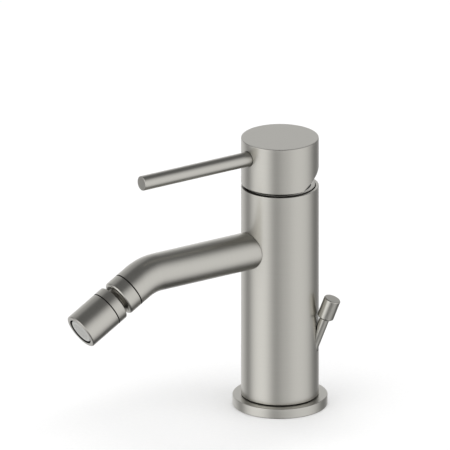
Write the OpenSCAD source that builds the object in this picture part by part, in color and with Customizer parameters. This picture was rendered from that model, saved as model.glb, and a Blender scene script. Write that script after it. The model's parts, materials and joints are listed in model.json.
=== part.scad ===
// Single lever bidet mixer: straight column, bent spout with a ball swivel nozzle,
// rod lever on a round cap, and a slanted lift rod at the back right.
// The deck is the plane z = 0, the column stands on the z axis and the spout points to -y.

/* [Column] */
// Outside diameter of the column and of the handle cap
body_d = 45; // [44:0.5:52]
// Width of the rim left around the recess in the column's top
rim_w = 1.8; // [1.4:0.1:2.2]
// Height of the column's rim above the lever pivot
rim_rise = 5; // [4.8:0.1:7]
// Chamfer on the turned edges
edge = 0.4; // [0.2:0.1:0.6]
// Height of the shadow line between turned pieces
shadow_line = 0.5; // [0.3:0.1:0.8]
// Depth of the shadow line under the column
shadow_depth = 2; // [1:0.5:3]

/* [Base flange] */
// Outside diameter of the flange on the deck
flange_d = 55; // [54:0.5:70]
// Thickness of the flange
flange_h = 6; // [4:0.5:10]
// Diameter of the column's foot inside the flange
foot_d = 38; // [36:0.5:40]
// Radial width of the deck gasket
gasket_w = 3; // [2:0.5:4]
// Thickness of the deck gasket
gasket_h = 2; // [1:0.5:3]

/* [Deck connections] */
// Nominal diameter of the M10 hose threads
hose_d = 10; // [8:0.5:11]
// Depth of the hose threads
hose_depth = 14; // [10:1:20]
// Diameter of the water passages
water_d = 5; // [4:0.5:5.5]
// Sideways distance of the inlets from the column axis
inlet_x = 6; // [5.9:0.1:6.2]
// Distance of the inlets in front of the column axis
inlet_y = 6.1; // [5.9:0.1:6.2]
// Diameter of the outlet passage
outlet_d = 7; // [6:0.1:7.2]
// Distance of the outlet behind the column axis
outlet_y = 5.5; // [5.2:0.1:6]
// Diameter of the two cross drillings that lead between the inlets to the spout
cross_d = 4; // [3:0.1:4.4]
// Distance between the axes of the cross drillings
cross_step = 5; // [4.6:0.1:6]
// Nominal diameter of the M8 stud thread
stud_d = 8; // [6:0.5:8]
// Depth of the stud thread
stud_depth = 20; // [12:1:30]
// Distance of the stud in front of the column axis
stud_y = 14; // [13.8:0.1:14.2]

/* [Spout] */
// Outside diameter of the spout and of the nozzle
spout_d = 22; // [21:0.5:26]
// Bore of the spout
spout_bore = 13; // [11:0.5:13.5]
// Height of the spout axis above the deck
spout_z = 98; // [85:0.5:120]
// Distance of the bend's corner from the column axis
spout_corner = 93; // [70:1:130]
// Angle of the bend below the horizontal
spout_bend = 29.5; // [20:0.5:40]
// Radius of the bend's centre line
bend_r = 28; // [24:1:34]
// Thinning of the tube at the bend
bend_thin = 0.04; // [0.03:0.01:0.08]
// Distance from the bend's corner to the end of the spout
spout_tail = 14; // [13:0.5:30]
// Diameter of the tenon in the column
tenon_d = 15; // [14:0.5:16]
// Bore of the tenon
tenon_bore = 11; // [8:0.5:11]
// Length of the tenon behind the column's surface
tenon_l = 8.5; // [7:0.5:9]

/* [Ball swivel] */
// Diameter of the swivel ball
ball_d = 17.2; // [16.6:0.1:17.6]
// Length of the swivel collar
collar_l = 9; // [8.8:0.1:10]
// Gap between the collar and the nozzle ring
head_gap = 2.9; // [2.8:0.1:4]
// Radius on the collar's lower edge
collar_round = 1.3; // [0.6:0.1:1.5]
// Length of the male thread on the spout's end
nipple_l = 2.5; // [2:0.1:2.8]
// Wall of the collar around that thread
collar_wall = 1; // [0.8:0.1:1.2]
// Depth of the collar's flared mouth
mouth_h = 1.6; // [1.4:0.1:1.8]
// Distance that the collar's lip closes under the ball
mouth_lap = 0.55; // [0.4:0.05:0.7]
// Flat left between the flare and the collar's round edge
mouth_flat = 0.5; // [0.3:0.1:0.8]
// Water bore through the ball
ball_bore = 9; // [7:0.5:10]
// Diameter of the ball's neck
neck_d = 13.2; // [12:0.1:13.4]
// Height of the seat ring behind the ball
seat_h = 3.5; // [3:0.1:4]
// Width of the seat ring
seat_w = 2.6; // [2.2:0.1:2.8]
// Depth of the seat ring behind the spout's end
seat_depth = 0.5; // [0.4:0.1:0.8]
// Section of the O-ring behind the seat ring
seat_o_ring_d = 1.9; // [1.5:0.1:2]

/* [Nozzle] */
// Length of the nozzle ring
ring_l = 6; // [5:0.5:8]
// Length of the nozzle housing with the shadow line above it
housing_l = 21.1; // [20:0.1:30]
// Length of the thread between ring and housing
nozzle_thread_l = 4.5; // [3.5:0.5:5]
// Diameter of the thread between ring and housing
nozzle_thread_d = 18.4; // [18:0.1:19]
// Thickness of the flat seals in the nozzle
flat_seal_h = 1; // [0.8:0.1:1.5]
// Radius on the edges of the nozzle
nozzle_round = 0.8; // [0.4:0.1:1]
// Thickness of the step between thread and aerator
step_h = 2.4; // [1.5:0.1:3]
// Width of that step under the aerator
step_w = 0.7; // [0.5:0.1:1]
// Depth of the shoulder between the ball's neck and its threaded tail
tail_step = 0.6; // [0.4:0.1:1]
// Thickness of the nozzle ring below the threaded tail
ring_floor = 1; // [0.6:0.1:1.5]

/* [Aerator] */
// Outside diameter of the aerator
aerator_d = 16.2; // [15.6:0.1:16.4]
// Gap around the aerator's face
aerator_gap = 0.4; // [0.3:0.1:0.6]
// Depth of that gap
aerator_gap_h = 2.5; // [1.5:0.5:4]
// Depth of the aerator's face behind the rim
aerator_inset = 0.5; // [0.3:0.1:1]
// Wall of the aerator body
aerator_wall = 1.1; // [0.8:0.1:1.3]
// Number of jets in the aerator body
jets = 12; // [6:2:14]
// Distance of the jets from the aerator's wall
jet_land = 2; // [1.5:0.1:2.5]
// Thickness of the honeycomb grid
grid_h = 1.5; // [1:0.1:3]
// Width of a honeycomb cell across its flats
cell_w = 1.3; // [1:0.1:1.6]
// Web between two honeycomb cells
cell_web = 0.35; // [0.3:0.05:0.6]

/* [Handle] */
// Gap between the column's rim and the cap
cap_gap = 1.8; // [1.8:0.1:3]
// Height of the cap
cap_h = 27.7; // [25:0.1:36]
// Angle that the cut under the back of the cap is steeper than the lift
cut_spare = 4; // [3:0.5:7]
// Wall of the cap around its cavity
cap_wall = 3; // [2:0.5:4]
// Depth of the cap's cavity
cap_cavity = 10.2; // [6:0.1:11]
// Diameter of the boss inside the cap
boss_d = 19; // [17:0.5:22]
// Diameter of the lever rod
lever_d = 8.7; // [6.5:0.1:10]
// Distance of the lever's end from the column axis
lever_reach = 96.5; // [60:0.5:130]
// Depth of the lever's axis below the cap's top
lever_drop = 9; // [8:0.5:10]
// Depth of the lever's seat in the cap
lever_seat = 5; // [3:0.5:6]
// Diameter of the lever's threaded tail
tail_d = 6; // [4:0.5:6]
// Length of the lever's threaded tail
tail_l = 7; // [5:0.5:7]
// Diameter of the grub screw
grub_d = 5; // [4:0.5:6]
// Length of the grub screw
grub_l = 6; // [5:0.5:7]
// Diameter of the plug over the grub screw
plug_d = 6; // [5.5:0.1:8]
// Length of the plug
plug_l = 4; // [3:0.5:6]

/* [Cartridge] */
// Wall between the spout's socket and the cartridge floor
floor_wall = 1.4; // [1:0.1:4]
// Outside diameter of the cartridge
cart_d = 34.8; // [34:0.1:35.2]
// Height of the cartridge base
base_h = 4.5; // [4:0.1:6]
// Height of the base's spigot in the housing
base_lap = 1; // [0.6:0.1:1.5]
// Land between a port and its seal
port_land = 0.4; // [0.3:0.1:0.5]
// Thickness of each ceramic disc
disc_h = 3; // [2.6:0.1:4]
// Wall of the cartridge housing around the discs
cart_wall = 2.4; // [2:0.1:2.5]
// Depth of the mixing pocket under the moving disc
pocket_h = 1; // [0.6:0.1:1.2]
// Length of the mixing pocket along the disc's travel
pocket_l = 9.5; // [8.5:0.5:10]
// Rim of the moving disc around the pocket
pocket_rim = 1.5; // [1:0.1:2]
// Sealing width between the closed pocket and the inlets
pocket_seal = 0.5; // [0.3:0.1:0.8]
// Height of the disc carrier
carrier_h = 4.5; // [4.3:0.1:5]
// Width of the disc carrier between the rotor's cheeks
carrier_w = 12.8; // [12:0.1:13]
// Length of the disc carrier along its travel
carrier_l = 13; // [11:0.5:13.5]
// Diameter of the two pegs between carrier and moving disc
peg_d = 2; // [1.5:0.1:2.2]
// Length of those pegs
peg_l = 1; // [0.6:0.1:1.2]
// Diameter of the rotor's skirt
skirt_d = 25; // [24.5:0.1:25.4]
// Height of the rotor's skirt above the carrier
skirt_rise = 2.8; // [2.4:0.1:3.2]
// Diameter of the rotor's barrel
barrel_d = 21; // [20.4:0.1:21.4]
// Height of the rotor's barrel above the pivot
barrel_rise = 4; // [3.4:0.1:4.2]
// Thickness of the housing's lip over the rotor
lip_h = 1.5; // [1.2:0.1:2]
// Height of the housing's neck above the lip
neck_h = 2.5; // [2:0.1:2.8]
// Wall of the housing's neck
neck_wall = 4.2; // [3:0.1:4.2]
// Height of the threaded nut that holds the cartridge
nut_h = 5; // [4.6:0.1:5.2]
// Diameter of the nut's thread
nut_d = 37.8; // [37.4:0.1:38]
// Height of the nut above the step that the dome ring rests on
nut_proud = 1; // [0.6:0.1:1.2]
// Width of the nut's wrench notches
notch_w = 4; // [3:0.5:6]
// Depth of the nut's wrench notches
notch_h = 2; // [1:0.5:3]
// Thickness of the dome ring's plate
dome_h = 1.6; // [1.2:0.1:2]
// Height of the dome ring above the column's rim
dome_proud = 0.6; // [0.2:0.1:0.8]
// Wall of the dome ring's skirt
dome_wall = 1.2; // [0.8:0.1:1.3]
// Opening in the dome ring
dome_bore = 23; // [22.6:0.1:26]
// Gap around the dome ring
dome_gap = 0.4; // [0.3:0.1:0.5]

/* [Lever stem] */
// Height of the lever pivot above the disc carrier
pivot_rise = 7; // [6.8:0.1:7.6]
// Depth of the stem's ball tip below the carrier's top
tip_depth = 1.5; // [1.3:0.1:1.8]
// Diameter of the stem's ball tip
tip_d = 4.6; // [4:0.1:4.8]
// Diameter of the stem's lower arm
arm_d = 3.4; // [3:0.1:3.4]
// Thickness of the stem between the rotor's cheeks
blade_w = 6.3; // [5.5:0.1:6.5]
// Width of the square head in the cap
square_w = 8; // [7:0.1:8.4]
// Length of the square head
square_l = 21.7; // [20.5:0.1:22]
// Diameter of the pivot pin
pin_d = 3; // [2.5:0.1:3.4]
// Length of the pivot pin
pin_l = 19; // [17:0.5:19.5]
// Lift of the lever from closed to fully open
lift_angle = 25; // [20:0.5:25]

/* [Lift rod] */
// Diameter of the lift rod
rod_d = 5.8; // [5.5:0.1:6.2]
// Tilt of the lift rod from the vertical
rod_tilt = 20.7; // [19.5:0.1:21.5]
// Turn of the lift rod from the back towards the right
rod_turn = 50; // [35:1:52]
// Height at which the rod's axis leaves the column
rod_z = 43; // [41:0.1:48]
// Height of the rod's lower end above the deck
rod_foot = 2.8; // [1.6:0.1:4]
// Gap between the lowered knob and the column
knob_gap = 0.31; // [0.3:0.01:2]
// Diameter of the knob
knob_d = 9.8; // [8.5:0.1:10.5]
// Length of the knob
knob_l = 13.1; // [9:0.1:16]
// Chamfer under the knob
knob_edge = 1; // [0.6:0.1:1.4]
// Diameter of the rod's thread in the knob
knob_thread_d = 4; // [3:0.1:4.5]
// Length of the rod's thread in the knob
knob_thread_l = 7; // [5:0.5:7.5]
// Nominal diameter of the M4 socket in the rod's lower end
link_d = 4; // [3:0.5:4.5]
// Depth of that socket
link_depth = 8; // [5:0.5:12]
// Wall of the guide bush
bush_wall = 1.2; // [1:0.1:1.4]
// Length of the guide bush
bush_l = 12.2; // [9:0.1:12.5]
// Wall of the column over the guide bush
bush_cover = 1.2; // [0.8:0.1:2]

/* [Fits] */
// Radial clearance of pieces that turn or slide on each other
run_fit = 0.05; // [0.03:0.01:0.08]
// Radial clearance of pieces that are pushed or screwed together
slip_fit = 0.1; // [0.06:0.01:0.15]
// Clearance of a seal in its groove
seal_fit = 0.05; // [0.03:0.01:0.1]
// Clearance between moving faces that never touch
free_gap = 0.3; // [0.3:0.05:0.4]
// Section of the small O-rings
o_ring_d = 1.2; // [1:0.1:1.3]
// Gap of the saddle joint between spout and column
saddle_gap = 0.2; // [0.1:0.05:0.4]

/* [Hidden] */
$fn = 96;
// Length that a cutting shape runs past the face it cuts
over = 1;
far = 80;

body_r = body_d / 2;
foot_r = foot_d / 2;
flange_r = flange_d / 2;
gasket_r = (foot_r + flange_r) / 2;
spout_r = spout_d / 2;
tenon_r = tenon_d / 2;
tenon_end = body_r - tenon_l;
column_z = flange_h + shadow_line;

// Levels of the cartridge, from its floor to the column's rim
floor_z = spout_z + tenon_r + slip_fit + floor_wall;
fixed_z = floor_z + base_h;
moving_z = fixed_z + disc_h;
carrier_z = moving_z + disc_h;
carrier_top = carrier_z + carrier_h;
skirt_top = carrier_top + skirt_rise;
lip_z = skirt_top + free_gap;
shoulder_z = lip_z + lip_h;
pivot_z = carrier_top + pivot_rise;
tip_z = carrier_top - tip_depth;
barrel_top = pivot_z + barrel_rise;
body_top = pivot_z + rim_rise;
dome_top = body_top + dome_proud;
dome_z = dome_top - dome_h;
nut_top = shoulder_z + nut_h;
recess_z = nut_top - nut_proud;
recess_r = body_r - rim_w;
dome_r = recess_r - dome_gap;
cart_r = cart_d / 2;
chamber_r = cart_r + slip_fit;
nut_r = nut_d / 2;
nut_bore_r = nut_r + slip_fit;
// The dome ring's foot stands around the nut on the recess's floor, or on the nut in a slim column
dome_foot_z = dome_r - dome_wall > nut_r ? recess_z : nut_top + slip_fit;
disc_room = cart_r - cart_wall;
skirt_r = skirt_d / 2;
barrel_r = barrel_d / 2;
lip_r = barrel_r + free_gap;
neck_r = lip_r + neck_wall;
inlet_r = water_d / 2;
outlet_r = outlet_d / 2;
inlets = [[-inlet_x, -inlet_y], [inlet_x, -inlet_y]];
arm_l = pivot_z - tip_z;
lift_travel = arm_l * sin(lift_angle);
moving_r = disc_room - lift_travel - free_gap;
// Room for the stem's tip, which swings in an arc while the carrier slides straight
tip_room = 2 * run_fit;
tip_slot = tip_d / 2 + tip_room;
port_seal_r = inlet_r + o_ring_d / 2 + seal_fit + port_land;
outlet_seal_r = outlet_r + o_ring_d / 2 + seal_fit + port_land;

// Cap and lever
cap_r = body_r;
cap_cut = lift_angle + cut_spare;
cap_z = body_top + cap_gap;
cap_top = cap_z + cap_h;
lever_z = cap_top - lever_drop;
lever_r = lever_d / 2;
seat_y = cap_r - lever_seat;
square_r = square_w / 2;
socket_r = square_r + slip_fit;
square_top = cap_z + square_l;
socket_top = square_top + free_gap;
boss_r = boss_d / 2;
plug_r = plug_d / 2;
grub_r = grub_d / 2;

// Swivel, measured along the spout's end from its end face
ball_r = ball_d / 2;
seat_r = ball_r + run_fit;
flare_r = spout_r - collar_round - mouth_flat;
lip_s = collar_l - mouth_h;
mouth_r = ball_r - mouth_lap;
ball_s = lip_s - sqrt(seat_r * seat_r - mouth_r * mouth_r);
nipple_r = spout_r - collar_wall - slip_fit;
ball_room = ball_r + 2 * run_fit;
collar_room = ball_room + run_fit;
seat_bottom = -seat_depth;
seat_top = seat_bottom - seat_h;
seat_shoulder = seat_top - seat_o_ring_d - 2 * seal_fit;
ball_cut = seat_bottom - over;
seat_bore = ball_r - seat_w;
spout_bore_r = spout_bore / 2;

// Nozzle, on the same axis
ring_s = collar_l + head_gap;
ring_end = ring_s + ring_l;
thread_end = ring_end + nozzle_thread_l;
nozzle_thread_r = nozzle_thread_d / 2;
step_s = thread_end + flat_seal_h;
washer_s = step_s + step_h;
aerator_s = washer_s + flat_seal_h;
tip_s = ring_end + housing_l;
face_s = tip_s - aerator_inset;
aerator_r = aerator_d / 2;
grid_r = aerator_r - aerator_wall - slip_fit;
step_r = aerator_r - step_w;
neck_tail_r = neck_d / 2 - tail_step;
tail_end = ring_end - ring_floor;
cell_pitch = cell_w + cell_web;

// Lift rod, measured along its axis from the column's surface
rod_r = rod_d / 2;
bush_r = rod_r + run_fit + bush_wall;
rod_bore_r = rod_r + free_gap;
bush_bore_r = bush_r + slip_fit;
bush_depth = (bush_bore_r * cos(rod_tilt) + bush_cover) / sin(rod_tilt);
bush_top = -bush_depth - o_ring_d - 2 * seal_fit;
rod_in = (rod_z - rod_foot) / cos(rod_tilt);
rod_out = (knob_d / 2 * cos(rod_tilt) + knob_gap) / sin(rod_tilt) - knob_edge;

metal = "#b7b3aa";
brass = "#b9a46a";
steel = "#9a9a98";
rubber = "#2b2b2b";
ceramic = "#e3ddd0";
white_plastic = "#d9d9d4";
grey_plastic = "#8f9294";

// Upright cylinder between two heights
module post(r, z0, z1) {
    translate([0, 0, z0])
        cylinder(r = r, h = z1 - z0);
}

// Hollow upright cylinder between two heights
module pipe(r_out, r_in, z0, z1) {
    difference() {
        post(r_out, z0, z1);
        post(r_in, z0 - over, z1 + over);
    }
}

// Upright cylinder with chamfers at its foot and head
module turned_post(r, z0, z1, low, high) {
    rotate_extrude()
        polygon([
            [0, z0], [r - low, z0], [r, z0 + low],
            [r, z1 - high], [r - high, z1], [0, z1]
        ]);
}

// Upright cylinder with round corners at its foot and head
module soft_post(r, z0, z1, low, high) {
    rotate_extrude() {
        translate([0, z0 + low])
            square([r, z1 - z0 - low - high]);
        soft_edge(r, z0 + low, low);
        soft_edge(r, z1 - high, high);
    }
}

// Profile of a disc with a round rim, which rounds one end of a post
module soft_edge(r, z, size) {
    if (size > 0) {
        translate([r - size, z])
            circle(size);
        translate([0, z - size])
            square([r - size, 2 * size]);
    }
}

// O-ring whose section has its centre at a radius and height
module o_ring(centre_r, z, section) {
    translate([0, 0, z])
        rotate_extrude()
            translate([centre_r, 0])
                circle(d = section);
}

// Shape that points along -y at a height
module forward(z) {
    translate([0, 0, z])
        rotate([90, 0, 0])
            children();
}

// Shape that points along the spout's end, with z = 0 on the spout's end face
module at_spout_end() {
    translate([0, -spout_corner - spout_tail * cos(spout_bend), spout_z - spout_tail * sin(spout_bend)])
        rotate([90 + spout_bend, 0, 0])
            children();
}

// Shape along the lift rod, with z = 0 on the column's surface
module at_rod() {
    rotate([0, 0, -rod_turn])
        translate([0, body_r, rod_z])
            rotate([-rod_tilt, 0, 0])
                children();
}

// The two water inlets
module each_inlet() {
    for (place = inlets)
        translate(place)
            children();
}

// Passages drilled through the column
module column_drillings() {
    each_inlet() {
        post(hose_d / 2, -over, hose_depth);
        post(inlet_r, 0, floor_z + over);
    }
    translate([0, -stud_y, 0])
        post(stud_d / 2, -over, stud_depth);
    translate([0, outlet_y, 0])
        post(outlet_r, spout_z - cross_step / 2, floor_z + over);
    forward(spout_z) {
        for (side = [-1, 1])
            translate([0, side * cross_step / 2, 0])
                post(cross_d / 2, -outlet_y, body_r);
        post(tenon_r + slip_fit, tenon_end, body_r + over);
    }
    at_rod() {
        post(rod_bore_r, -bush_depth - over, body_r);
        post(bush_bore_r, -far, -bush_depth);
    }
}

// Room for the cartridge in the column's top
module cartridge_room() {
    post(chamber_r, floor_z, body_top + over);
    post(nut_bore_r, carrier_top, body_top + over);
    post(recess_r, recess_z, body_top + over);
}

module body() {
    color(metal)
        difference() {
            union() {
                post(foot_r, 0, column_z + over);
                post(body_r - shadow_depth, flange_h, column_z + over);
                turned_post(body_r, column_z, body_top, edge, edge);
            }
            column_drillings();
            cartridge_room();
        }
}

module base_flange() {
    color(metal)
        difference() {
            turned_post(flange_r, 0, flange_h, edge, edge);
            post(foot_r + slip_fit, -over, flange_h + over);
            pipe(gasket_r + gasket_w / 2, gasket_r - gasket_w / 2, -over, gasket_h);
        }
}

module base_gasket() {
    color(rubber)
        pipe(gasket_r + gasket_w / 2 - seal_fit, gasket_r - gasket_w / 2 + seal_fit, 0, gasket_h);
}

// Bent bar along the spout's centre line
module bent_bar(r, start) {
    tangent = bend_r * tan(spout_bend / 2);
    lap = over / 10;
    forward(spout_z)
        post(r, start, spout_corner - tangent + lap);
    translate([0, tangent - spout_corner, spout_z - bend_r])
        rotate([0, -90, 0])
            rotate([0, 0, -spout_bend])
                rotate_extrude(angle = spout_bend)
                    translate([bend_r, 0])
                        circle(r - bend_thin);
    at_spout_end()
        post(r, tangent - spout_tail - lap, 0);
}

module spout() {
    tenon_groove = body_r - tenon_l / 2;
    color(metal)
        difference() {
            union() {
                difference() {
                    bent_bar(spout_r, 0);
                    post(body_r + saddle_gap, 0, body_top);
                }
                forward(spout_z)
                    post(tenon_r, tenon_end + slip_fit, body_r + spout_bore_r);
                at_spout_end()
                    post(nipple_r, -over, nipple_l);
            }
            bent_bar(spout_bore_r, body_r + spout_bore_r - tenon_r);
            forward(spout_z) {
                post(tenon_bore / 2, 0, body_r + spout_bore_r);
                pipe(tenon_r + over, tenon_r - o_ring_d, tenon_groove - o_ring_d / 2 - seal_fit,
                    tenon_groove + o_ring_d / 2 + seal_fit);
            }
            at_spout_end()
                post(ball_room, seat_shoulder, nipple_l + over);
        }
}

module spout_seal() {
    color(rubber)
        forward(spout_z)
            o_ring(tenon_r - o_ring_d / 2 + seal_fit, body_r - tenon_l / 2, o_ring_d);
}

module swivel_collar() {
    flare = (flare_r - mouth_r) / mouth_h;
    color(metal)
        at_spout_end()
            difference() {
                rotate([180, 0, 0])
                    soft_post(spout_r, -collar_l, -shadow_line, collar_round, 0);
                post(nipple_r + slip_fit, 0, nipple_l + slip_fit);
                post(collar_room, 0, ball_s);
                translate([0, 0, ball_s])
                    sphere(seat_r);
                translate([0, 0, lip_s - over])
                    cylinder(r1 = mouth_r - over * flare, r2 = flare_r + over * flare,
                        h = mouth_h + 2 * over);
            }
}

module seat_o_ring() {
    color(rubber)
        at_spout_end()
            o_ring(ball_room - seat_o_ring_d / 2 - seal_fit, seat_shoulder + seat_o_ring_d / 2 + seal_fit,
                seat_o_ring_d);
}

module ball_seat() {
    color(white_plastic)
        at_spout_end()
            difference() {
                pipe(ball_room - run_fit, seat_bore, seat_top + run_fit, seat_bottom);
                translate([0, 0, ball_s])
                    sphere(seat_r);
            }
}

module swivel_ball() {
    color(metal)
        at_spout_end()
            difference() {
                union() {
                    intersection() {
                        translate([0, 0, ball_s])
                            sphere(ball_r);
                        post(ball_r + over, ball_cut, ball_s + ball_r + over);
                    }
                    post(neck_d / 2, ball_s, ring_s);
                    post(neck_tail_r, ring_s - over, tail_end);
                }
                post(ball_bore / 2, ball_cut - over, tail_end + over);
            }
}

module nozzle_ring() {
    color(metal)
        at_spout_end()
            difference() {
                union() {
                    rotate([180, 0, 0])
                        soft_post(spout_r, -ring_end, -ring_s, 0, nozzle_round);
                    post(nozzle_thread_r, ring_end - over, thread_end);
                }
                post(neck_tail_r + slip_fit, ring_s - over, tail_end + over);
                post(step_r, tail_end + slip_fit, thread_end + over);
            }
}

module nozzle_seal() {
    color(rubber)
        at_spout_end()
            pipe(nozzle_thread_r, step_r, thread_end, step_s);
}

module nozzle_housing() {
    color(metal)
        at_spout_end()
            difference() {
                rotate([180, 0, 0])
                    soft_post(spout_r, -tip_s, -ring_end - shadow_line, nozzle_round, 0);
                post(nozzle_thread_r + slip_fit, ring_end, step_s);
                post(step_r, step_s - over, washer_s + over);
                post(aerator_r + slip_fit, washer_s, tip_s + over);
                post(aerator_r + aerator_gap, tip_s - aerator_gap_h, tip_s + over);
            }
}

module aerator_washer() {
    color(rubber)
        at_spout_end()
            pipe(aerator_r, step_r - step_w, washer_s, aerator_s);
}

module aerator_body() {
    jet_ring = grid_r - jet_land;
    color(grey_plastic)
        at_spout_end()
            difference() {
                turned_post(aerator_r, aerator_s, face_s, 0, edge / 2);
                post(aerator_r - aerator_wall, aerator_s + 2 * aerator_wall, face_s + over);
                for (jet = [1:jets])
                    rotate([0, 0, jet * 360 / jets])
                        translate([jet_ring, 0, aerator_s - over])
                            cylinder(d = cell_w, h = far);
            }
}

module aerator_screen() {
    screen_s = aerator_s + 2 * aerator_wall;
    color(steel)
        at_spout_end()
            pipe(grid_r, cell_w, screen_s, screen_s + cell_w);
}

// Places of the honeycomb cells that lie wholly on the grid
function cell_places() = let (rows = floor(grid_r / cell_pitch)) [
    for (i = [-rows:rows], j = [-rows:rows])
        let (place = [cell_pitch * (i + j / 2), cell_pitch * j * sqrt(3) / 2])
            if (norm(place) < grid_r - cell_w) place
];

module aerator_grid() {
    color(grey_plastic)
        at_spout_end()
            difference() {
                post(grid_r, face_s - grid_h, face_s);
                for (place = cell_places())
                    translate([place[0], place[1], face_s - grid_h - over])
                        rotate([0, 0, 30])
                            cylinder(d = cell_w / cos(30), h = grid_h + 2 * over, $fn = 6);
            }
}

// Water ports shared by the cartridge base and the fixed disc
module water_ports(z0, z1) {
    each_inlet()
        post(inlet_r, z0, z1);
    translate([0, outlet_y, 0])
        post(outlet_r, z0, z1);
}

module cartridge_base() {
    groove = o_ring_d + seal_fit;
    color(grey_plastic)
        difference() {
            union() {
                post(cart_r, floor_z, fixed_z - base_lap);
                post(disc_room - slip_fit, floor_z, fixed_z);
            }
            water_ports(floor_z - over, fixed_z + over);
            each_inlet()
                pipe(port_seal_r + groove / 2, port_seal_r - groove / 2, floor_z - over,
                    floor_z + groove);
            translate([0, outlet_y, 0])
                pipe(outlet_seal_r + groove / 2, outlet_seal_r - groove / 2, floor_z - over,
                    floor_z + groove);
        }
}

module port_seals() {
    seal_z = floor_z + o_ring_d / 2;
    color(rubber) {
        each_inlet()
            o_ring(port_seal_r, seal_z, o_ring_d);
        translate([0, outlet_y, 0])
            o_ring(outlet_seal_r, seal_z, o_ring_d);
    }
}

module fixed_disc() {
    color(ceramic)
        difference() {
            post(disc_room - slip_fit, fixed_z, moving_z);
            water_ports(fixed_z - over, moving_z + over);
        }
}

// The two pegs that take the moving disc along with its carrier
module each_peg() {
    peg_x = (tip_slot + carrier_w / 2) / 2;
    for (side = [-1, 1])
        translate([side * peg_x, 0, 0])
            children();
}

module moving_disc() {
    pocket_front = inlet_r - inlet_y + pocket_seal;
    color(ceramic)
        difference() {
            post(moving_r, moving_z, carrier_z);
            intersection() {
                post(moving_r - pocket_rim, moving_z - over, moving_z + pocket_h);
                translate([-far / 2, pocket_front, moving_z - over])
                    cube([far, pocket_l, far]);
            }
            each_peg()
                post(peg_d / 2 + slip_fit, carrier_z - peg_l - slip_fit, carrier_z + over);
        }
}

module disc_carrier() {
    color(white_plastic)
        difference() {
            union() {
                translate([-carrier_w / 2, -carrier_l / 2, carrier_z])
                    cube([carrier_w, carrier_l, carrier_h]);
                each_peg()
                    post(peg_d / 2, carrier_z - peg_l, carrier_z + over);
            }
            translate([-tip_slot, -tip_slot, carrier_z - over])
                cube([2 * tip_slot, 2 * tip_slot, carrier_h + 2 * over]);
        }
}

module cartridge_housing() {
    color(white_plastic)
        difference() {
            union() {
                post(cart_r, fixed_z - base_lap, shoulder_z);
                post(neck_r, shoulder_z - over, shoulder_z + neck_h);
            }
            post(disc_room, fixed_z - base_lap - over, carrier_z + run_fit);
            post(skirt_r + run_fit, carrier_z, lip_z);
            post(lip_r, lip_z - over, shoulder_z + neck_h + over);
        }
}

module cartridge_nut() {
    color(brass)
        difference() {
            pipe(nut_r, neck_r + slip_fit, shoulder_z, nut_top);
            for (turn = [0, 90])
                rotate([0, 0, turn])
                    translate([-far / 2, -notch_w / 2, nut_top - notch_h])
                        cube([far, notch_w, notch_h + over]);
        }
}

module dome_ring() {
    color(metal)
        difference() {
            union() {
                turned_post(dome_r, dome_z, dome_top, 0, edge / 2);
                post(dome_r, dome_foot_z, dome_z + over / 2);
            }
            post(dome_r - dome_wall, dome_foot_z - over, dome_z);
            post(dome_bore / 2, dome_foot_z, dome_top + over);
        }
}

module rotor() {
    cheek = carrier_w / 2 + slip_fit;
    stem_gap = blade_w / 2 + 2 * slip_fit;
    groove_z = lip_z + lip_h / 2;
    slot_front = max(square_r, lift_travel + tip_d / 2) + free_gap;
    slot_back = barrel_rise * tan(lift_angle) + square_r / cos(lift_angle) + free_gap;
    color(grey_plastic)
        difference() {
            union() {
                post(skirt_r, carrier_z + slip_fit, skirt_top);
                post(barrel_r, skirt_top - over, barrel_top);
            }
            translate([-cheek, -far / 2, carrier_z - over])
                cube([2 * cheek, far, carrier_h + over + slip_fit]);
            translate([-stem_gap, -slot_front, carrier_z])
                cube([2 * stem_gap, slot_front + slot_back, far]);
            pipe(barrel_r + over, barrel_r + free_gap - run_fit - o_ring_d - seal_fit,
                groove_z - o_ring_d / 2 - seal_fit, groove_z + o_ring_d / 2 + seal_fit);
            along_x(pivot_z)
                post(pin_d / 2 + seal_fit / 2, -far / 2, far / 2);
        }
}

// Shape that runs along x at a height
module along_x(z) {
    translate([0, 0, z])
        rotate([0, 90, 0])
            children();
}

module pivot_pin() {
    color(steel)
        along_x(pivot_z)
            turned_post(pin_d / 2, -pin_l / 2, pin_l / 2, edge / 2, edge / 2);
}

module rotor_seal() {
    color(rubber)
        o_ring(barrel_r + free_gap - run_fit - o_ring_d / 2, lip_z + lip_h / 2, o_ring_d);
}

module lever_stem() {
    color(steel)
        difference() {
            union() {
                along_x(pivot_z)
                    post(square_r, -blade_w / 2, blade_w / 2);
                translate([-blade_w / 2, -square_r, pivot_z])
                    cube([blade_w, square_w, cap_z - pivot_z + over]);
                translate([-square_r, -square_r, cap_z])
                    cube([square_w, square_w, square_l]);
                post(arm_d / 2, tip_z, pivot_z);
                translate([0, 0, tip_z])
                    sphere(tip_d / 2);
            }
            along_x(pivot_z)
                post(pin_d / 2 + run_fit, -far / 2, far / 2);
        }
}

// Half space under the slanted cut at the back of the cap
module cap_relief() {
    translate([-far / 2, 0, cap_z])
        rotate([cap_cut, 0, 0])
            translate([0, 0, -far])
                cube([far, far, far]);
}

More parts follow.
